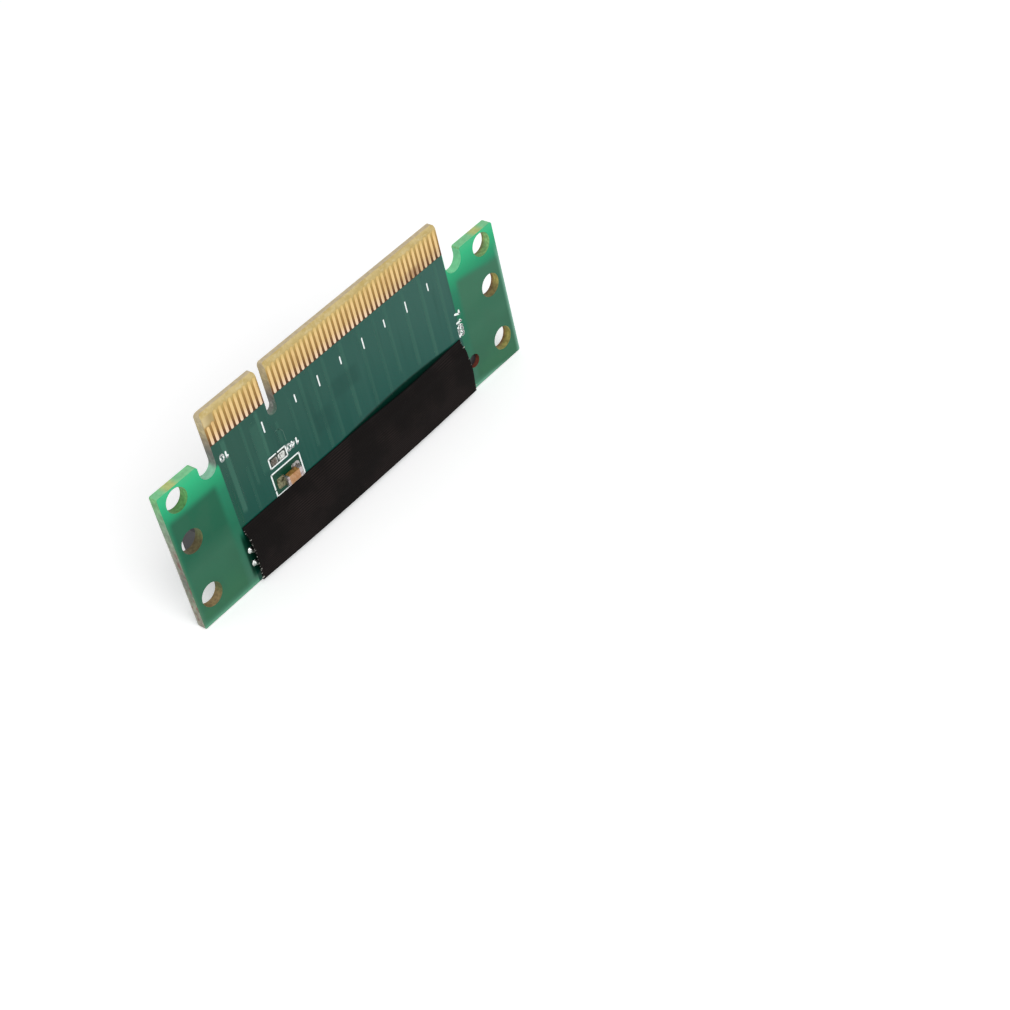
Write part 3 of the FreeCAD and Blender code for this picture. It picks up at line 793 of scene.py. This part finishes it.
def smooth_through(stations, values, samples):
    """Smooth curve through values at stations, read at samples."""
    stations = np.array(stations)
    values = np.array(values)
    slopes = np.gradient(values, stations)
    index = np.clip(np.searchsorted(stations, samples, side="right") - 1, 0, len(stations) - 2)
    width = stations[index + 1] - stations[index]
    t = (samples - stations[index]) / width
    return ((2 * t**3 - 3 * t**2 + 1) * values[index] + (t**3 - 2 * t**2 + t) * width * slopes[index]
            + (3 * t**2 - 2 * t**3) * values[index + 1] + (t**3 - t**2) * width * slopes[index + 1])


def make_tape(material):
    """Woven cloth tape: rounded ridges along it, crossed by threads, over a plain sticky side."""
    columns = THREADS * THREAD_STEPS
    rows = RIDGES * RIDGE_STEPS
    along = np.linspace(0, 1, columns + 1)
    across = np.linspace(0, 1, rows + 1)
    places = np.array(TAPE_PLACES)
    bow = smooth_through(places[:, 0], places[:, 1], along)
    lift = smooth_through(places[:, 0], places[:, 2], along)
    x = tape_low.x + along * (tape_high.x - tape_low.x)
    ridge = np.abs(np.sin(math.pi * RIDGES * across)) ** RIDGE_ROUNDNESS
    number = np.floor(across * RIDGES)
    under = slice(None, None, UNDER_STEP)
    outside = []
    inside = []
    for column in range(columns + 1):
        section, reach = tape_section(bow[column], lift[column])
        height = smooth_through(reach, section[:, 0], across)
        stand = smooth_through(reach, section[:, 1], across)
        thread = np.sin(2 * math.pi * THREADS * along[column] + math.pi * number)
        relief = RIDGE_DEPTH * (ridge - 1) + THREAD_DEPTH * 0.5 * (thread - 1) * ridge
        top = FRONT - stand - TAPE_THICKNESS - relief
        here = np.full(rows + 1, x[column])
        outside.append(np.stack([here, top, height], 1))
        inside.append(np.stack([here[under], FRONT - stand[under], height[under]], 1))
    outside = np.array(outside)
    inside = np.array(inside)
    under_rows = inside.shape[1] - 1
    base = outside.shape[0] * outside.shape[1]

    def outer(column, row):
        return column * (rows + 1) + row

    def inner(column, row):
        return base + column * (under_rows + 1) + row

    faces = []
    for column in range(columns):
        after = column + 1
        for row in range(rows):
            faces.append((outer(column, row), outer(after, row),
                          outer(after, row + 1), outer(column, row + 1)))
        for row in range(under_rows):
            faces.append((inner(column, row), inner(column, row + 1),
                          inner(after, row + 1), inner(after, row)))
        faces.append((outer(column, 0), inner(column, 0), inner(after, 0), outer(after, 0)))
        faces.append((outer(column, rows), outer(after, rows),
                      inner(after, under_rows), inner(column, under_rows)))
    for column in (0, columns):
        rim = [outer(column, row) for row in range(rows + 1)]
        rim += [inner(column, row) for row in reversed(range(under_rows + 1))]
        faces.append(tuple(rim))
    mould = Mould()
    mould.add([tuple(p) for p in outside.reshape(-1, 3)] + [tuple(p) for p in inside.reshape(-1, 3)], faces)
    piece = mould.make("cloth_tape", material, smooth_angle=75)
    weave = piece.data.uv_layers.new(name="weave")
    flat = [(u, v) for u in along for v in across]
    flat += [(u, v) for u in along for v in across[under]]
    for corner in piece.data.loops:
        weave.data[corner.index].uv = flat[corner.vertex_index]
    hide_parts("insulating_tape")


def make_loose_threads(material):
    """Cut thread ends that stand out of the tape's two short edges, lying close to its face."""
    wobble = random.Random(4)
    mould = Mould()
    for edge, outwards, count, place in ((tape_low.x, -1, 20, TAPE_PLACES[0]),
                                         (tape_high.x, 1, 10, TAPE_PLACES[-1])):
        _, bow, lift = place
        section, reach = tape_section(bow, lift)
        for share in np.linspace(0.04, 0.97, count):
            z = float(np.interp(share, reach, section[:, 0])) + wobble.uniform(-0.25, 0.25)
            y = FRONT - float(np.interp(share, reach, section[:, 1])) - TAPE_THICKNESS
            length = wobble.uniform(0.06, 0.42)
            tip = edge + outwards * length * 0.4
            tail = edge - outwards * length * 0.6
            drop = wobble.uniform(-0.12, 0.12)
            thick = wobble.uniform(0.02, 0.08)
            corners = []
            for x, height in ((tail, z), (tip, z + drop)):
                corners += [(x, y + 0.05, height - thick), (x, y - 0.02, height - thick),
                            (x, y - 0.02, height + thick), (x, y + 0.05, height + thick)]
            faces = [(0, 1, 2, 3), (7, 6, 5, 4)]
            faces += [(a, (a + 1) % 4, (a + 1) % 4 + 4, a + 4) for a in range(4)]
            mould.add(corners, faces)
    mould.make("loose_threads", material)


LEFT_CAP = 0.45  # lengths of the chip's end caps, which are dipped unevenly
RIGHT_CAP = 0.65
FILLET_REACH = 0.45
FILLET_RISE = 0.5


def make_capacitor(ceramic, cap_metal, solder):
    """The chip capacitor, rounded as fired and dipped, with its solder."""
    body = Mould()
    add_rounded_box(body, chip_low, chip_high, 0.06)
    piece = body.make("chip_body", ceramic)
    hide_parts("capacitor_body")
    caps = Mould()
    for left, right in ((caps_low.x, caps_low.x + LEFT_CAP), (caps_high.x - RIGHT_CAP, caps_high.x)):
        add_rounded_box(caps, (left, caps_low.y, caps_low.z), (right, caps_high.y, caps_high.z), 0.08)
    piece = caps.make("chip_end_caps", cap_metal)
    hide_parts("capacitor_end_caps")
    fillets = Mould()
    fillet_low, fillet_high = box_mm("capacitor_solder_fillets")
    base = fillet_high.y
    for foot, outwards in ((caps_low.x, -1), (caps_high.x, 1)):
        loops = []
        for share in (0.0, 0.15, 0.35, 0.6, 0.85, 1.0):
            x = foot + outwards * FILLET_REACH * share
            rise = 0.03 + FILLET_RISE * (1 - share) ** 2
            shoulder = base - rise * 0.7
            crest = base - rise
            low = fillet_low.z + 0.12 * share
            high = fillet_high.z - 0.12 * share
            loops.append([(x, base, low), (x, shoulder, low), (x, crest, low + 0.2),
                          (x, crest, high - 0.2), (x, shoulder, high), (x, base, high)])
        fillets.loft(loops)
    piece = fillets.make("chip_solder", solder, smooth_angle=60)
    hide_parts("capacitor_solder_fillets")


CHIP_LAND = 1.7  # length of one of the capacitor's lands
SMALL_LAND_RISE = 0.08


def make_lands(chip_solder, small_solder):
    """The capacitor's two tinned lands and the two empty ones, with the solder left on them."""
    lands = Mould()
    for left, drop in ((lands_low.x, 0.35), (lands_high.x - CHIP_LAND, 0.0)):
        heights = (lands_low.z, lands_high.z - drop)
        add_pad(lands, (left, left + CHIP_LAND), heights, 0.45, FRONT, -1, FRONT - lands_low.y,
                edge=0.1, dome=0.15)
    piece = lands.make("chip_lands", chip_solder, smooth_angle=60)
    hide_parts("capacitor_lands")
    small = Mould()
    dome = FRONT - small_low.y - SMALL_LAND_RISE
    for left, width in ((small_low.x - 0.1, 1.3), (small_high.x - 1.3, 1.4)):
        heights = (small_low.z - 0.05, small_high.z + 0.05)
        add_pad(small, (left, left + width), heights, 0.3, FRONT, -1, SMALL_LAND_RISE,
                edge=0.06, dome=dome)
    piece = small.make("small_lands", small_solder, smooth_angle=60)
    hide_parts("empty_lands")


INK_WIDTH = 0.25
INK_HEIGHT = 0.02
TICK_TOP = 23.78
# Lines of each digit, in shares of its height.
DIGITS = {
    "0": [[(0, 0.2), (0.15, 0), (0.45, 0), (0.6, 0.2), (0.6, 0.8), (0.45, 1), (0.15, 1), (0, 0.8),
           (0, 0.2)]],
    "1": [[(0.1, 0.75), (0.35, 1), (0.35, 0)]],
    "2": [[(0, 0.8), (0.15, 1), (0.45, 1), (0.6, 0.8), (0.6, 0.6), (0, 0), (0.6, 0)]],
    "4": [[(0.45, 0), (0.45, 1), (0, 0.35), (0.6, 0.35)]],
    "7": [[(0, 1), (0.6, 1), (0.2, 0)]],
}


def add_number(mould, text, corner, height, turn, spacing=0.9, width=INK_WIDTH * 1.2):
    """Plain digits on the front. turn is the reading direction in degrees, and a space leaves a gap."""
    heading = math.radians(turn)
    along = (math.cos(heading), math.sin(heading))
    up = (-math.sin(heading), math.cos(heading))
    for index, digit in enumerate(text):
        for line in DIGITS.get(digit, []):
            path = []
            for u, v in line:
                a = (u + index * spacing) * height
                b = v * height
                path.append((corner[0] + a * along[0] + b * up[0], corner[1] + a * along[1] + b * up[1]))
            add_stroke(mould, path, width, FRONT, -1, INK_HEIGHT)


def make_ink(material):
    """Printed marks: contact ticks, two component boxes with a gap, and plain numbers."""
    mould = Mould()

    def line(*path):
        add_stroke(mould, path, INK_WIDTH, FRONT, -1, INK_HEIGHT)

    for number in range(10, CONTACTS + 1, 5):
        x = contact_x(number) + (0.2 if number == 45 else 0.0)  # this tick is printed off its contact
        foot = 21.95 if number % 10 == 0 else 22.55
        line((x, foot), (x, TICK_TOP))
    x0, x1, z0, z1 = SMALL_BOX
    line((x0 + 1.55, z1), (x0, z1), (x0, z0), (x1, z0), (x1, z1), (x0 + 2.05, z1))
    x0, x1, z0, z1 = BIG_BOX
    line((x0, z0 + 0.9), (x0, z0), (x1, z0), (x1, z1), (x0, z1), (x0, z0 + 1.3))
    add_number(mould, "10", (FIRST + 1.8, 23.9), 1.0, 180)
    add_number(mould, "140", (SMALL_BOX[1] + 2.65, 17.15), 1.0, 180, 0.85)
    add_number(mould, "7 1402", (LAST + 0.3, 15.3), 0.95, -90, 0.82, INK_WIDTH * 1.5)
    mould.make("printed_marks", material)


def make_traces(mask, mask_over_trace):
    """Etched traces and vias that stand a hair proud under the solder mask."""
    mould = Mould()

    def trace(offset, top, bottom, width, height):
        x = FIRST + offset
        add_stroke(mould, ((x, top), (x, bottom)), width, FRONT, -1, height)

    for offset, width, _, bottom, top in BROAD_TRACES:
        trace(offset, top - 0.2, bottom, width, 0.012)
    for offset in (19.1, 25.6, 29.5, 32.7, 35.6, 38.0, 41.5, 43.7, 45.6):
        x = FIRST + offset
        add_stroke(mould, ((x, 25.72), (x + 0.01, 25.7)), 0.5, FRONT, -1, 0.03)
    for offset, top, bottom in ((-0.1, 23.6, 12.0), (0.55, 24.2, 11.0), (2.1, 23.0, 13.5),
                                (10.9, 20.0, 17.9)):
        trace(offset, top, bottom, 0.16, 0.018)
    bend = FIRST + 10.9
    add_stroke(mould, ((bend - 0.9, 23.5), (bend, 20.0)), 0.16, FRONT, -1, 0.018)
    mould.make("traces_under_mask", mask)
    mould = Mould()
    x = FIRST + BEFORE_KEY - 0.2
    curve = ((x, 20.8), (x + 0.9, 20.6), (x + 1.3, 19.9), (x + 1.35, 18.0))
    add_stroke(mould, curve, 0.13, FRONT, -1, 0.012)
    mould.make("fine_traces_under_mask", mask_over_trace)
    mould = Mould()
    for number in range(1, CONTACTS + 1):
        if number % 3:
            x = contact_x(number)
            add_stroke(mould, ((x, FINGER_FOOT - 0.3), (x, 12.0)), 0.22, BACK, 1, 0.015)
    mould.make("back_traces_under_mask", mask_over_trace)


# ---- Putting it together ----

gold = gold_finish()
solder = tin_finish("bright_solder", (0.7, 0.71, 0.69), 0.3,
                    stain=(0.12, 0.13, 0.12), stained=0.8, scale=2.2)
cap_metal = tin_finish("tinned_end_cap", (0.56, 0.5, 0.5), 0.4,
                       stain=(0.22, 0.15, 0.15), stained=0.75, scale=3.0)
land_tin = tin_finish("tinned_land", (0.24, 0.23, 0.14), 0.35,
                      stain=(0.04, 0.04, 0.02), stained=0.9, scale=2.0,
                      further=(FIRST + 10.5, (0.42, 0.4, 0.39)))
old_solder = tin_finish("old_solder", (0.18, 0.165, 0.14), 0.3,
                        stain=(0.05, 0.035, 0.03), stained=0.9, scale=3.2,
                        further=(SMALL_BOX[0] + 1.4, (0.74, 0.77, 0.73)))
board = board_finish()
contact_metal = contact_finish()
moulding = housing_finish()

for name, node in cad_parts.items():
    if name.startswith("contacts"):
        chosen = contact_metal
    elif name == "slot_housing":
        chosen = moulding
    else:
        chosen = board
    node.data.materials.clear()
    node.data.materials.append(chosen)

PARTS = {"before_key": range(1, BEFORE_KEY + 1), "after_key": range(BEFORE_KEY + 1, CONTACTS + 1)}
# For each face: its place, which way is outwards, and how much some end fingers are cut down.
FACES = {"front": (FRONT, -1, {1: 1.7, 2: 1.45}), "back": (BACK, 1, {CONTACTS: 1.7})}
for face, (face_y, outwards, short) in FACES.items():
    for part, numbers in PARTS.items():
        make_fingers(f"fingers_{face}_{part}", face_y, outwards, short, numbers, gold)
for side in ("upper", "lower"):
    for odd in (True, False):
        make_solder(side, odd, solder)
make_tape(cloth_finish())
make_loose_threads(thread_finish())
make_capacitor(ceramic_finish(), cap_metal, land_tin)
make_lands(land_tin, old_solder)
make_ink(ink_finish())
make_traces(board, trace_finish())

# ---- Stage, light and camera ----

SLOT_CHAMFER = 0.4
slot_low, slot_high = box_mm("slot_housing")
FLOOR_SLOPE = slot_low.z / (slot_high.y - SLOT_CHAMFER - BACK)
FLOOR_LIFT = 0.34  # glow of the floor: it is seen, also in reflections, but it casts no light
SKY = 0.55  # strength of the world's light on the object
LAMP_POWER = 3.9
LAMP_SIZE = 0.7
LAMP_PLACE = (-0.2, -0.65, 0.59)
# Camera fitted to the photograph: focal length on a sensor 36 mm wide, its place, and its right and up.
SENSOR = 36.0
FOCAL_LENGTH = 75.83
CAMERA_PLACE = (-0.158963, -0.208021, 0.204066)
CAMERA_RIGHT = (0.6222216, -0.76053074, -0.18556207)
CAMERA_UP = (0.59105743, 0.300972, 0.74837623)


def seen_directly(tree):
    """1 for what the camera sees, also in a reflection or through glass, and 0 for light on the object."""
    path = tree.nodes.new("ShaderNodeLightPath")
    seen = Shade(tree, path.outputs["Is Camera Ray"])
    for ray in ("Is Glossy Ray", "Is Transmission Ray"):
        seen = seen.greater(Shade(tree, path.outputs[ray]))
    return seen


def make_floor():
    """Pale plane that the board's back lower edge and the slot's lower edge stand on."""
    half = 1.5
    mesh = bpy.data.meshes.new("floor")
    sides = ((-half, -half), (half, -half), (half, half), (-half, half))
    corners = [(x, y, FLOOR_SLOPE * (y - BACK * MM)) for x, y in sides]
    mesh.from_pydata(corners, [], [(0, 1, 2, 3)])
    floor = bpy.data.objects.new("floor", mesh)
    bpy.context.scene.collection.objects.link(floor)
    material = bpy.data.materials.new("pale_floor")
    material.use_nodes = True
    tree = material.node_tree
    shader = tree.nodes["Principled BSDF"]
    shader.inputs["Base Color"].default_value = (0.9, 0.9, 0.905, 1.0)
    shader.inputs["Roughness"].default_value = 0.9
    shader.inputs["Specular IOR Level"].default_value = 0.0
    shader.inputs["Emission Color"].default_value = (1.0, 1.0, 1.0, 1.0)
    connect(tree, seen_directly(tree) * FLOOR_LIFT, shader.inputs["Emission Strength"])
    mesh.materials.append(material)


def make_light():
    """Even light from all round, and one round softbox above the front."""
    world = bpy.data.worlds.new("studio")
    bpy.context.scene.world = world
    world.use_nodes = True
    tree = world.node_tree
    background = tree.nodes["Background"]
    background.inputs["Color"].default_value = (1.0, 1.0, 1.0, 1.0)
    connect(tree, seen_directly(tree) * (1.0 - SKY) + SKY, background.inputs["Strength"])
    lamp = bpy.data.lights.new("softbox", "AREA")
    lamp.shape = "DISK"
    lamp.size = LAMP_SIZE
    lamp.energy = LAMP_POWER
    softbox = bpy.data.objects.new("softbox", lamp)
    softbox.location = LAMP_PLACE
    softbox.rotation_mode = "QUATERNION"
    softbox.rotation_quaternion = softbox.location.to_track_quat("Z", "Y")
    bpy.context.scene.collection.objects.link(softbox)


def make_camera():
    """Camera at the photograph's viewing angle."""
    lens = bpy.data.cameras.new("camera")
    lens.sensor_width = SENSOR
    lens.lens = FOCAL_LENGTH
    lens.clip_start = 0.01
    lens.clip_end = 10.0
    camera = bpy.data.objects.new("camera", lens)
    right = Vector(CAMERA_RIGHT)
    up = Vector(CAMERA_UP)
    turn = Matrix((right, up, right.cross(up))).transposed().to_4x4()
    camera.matrix_world = Matrix.Translation(CAMERA_PLACE) @ turn
    bpy.context.scene.collection.objects.link(camera)
    bpy.context.scene.camera = camera


make_floor()
make_light()
make_camera()
bpy.context.scene.view_settings.view_transform = "Standard"
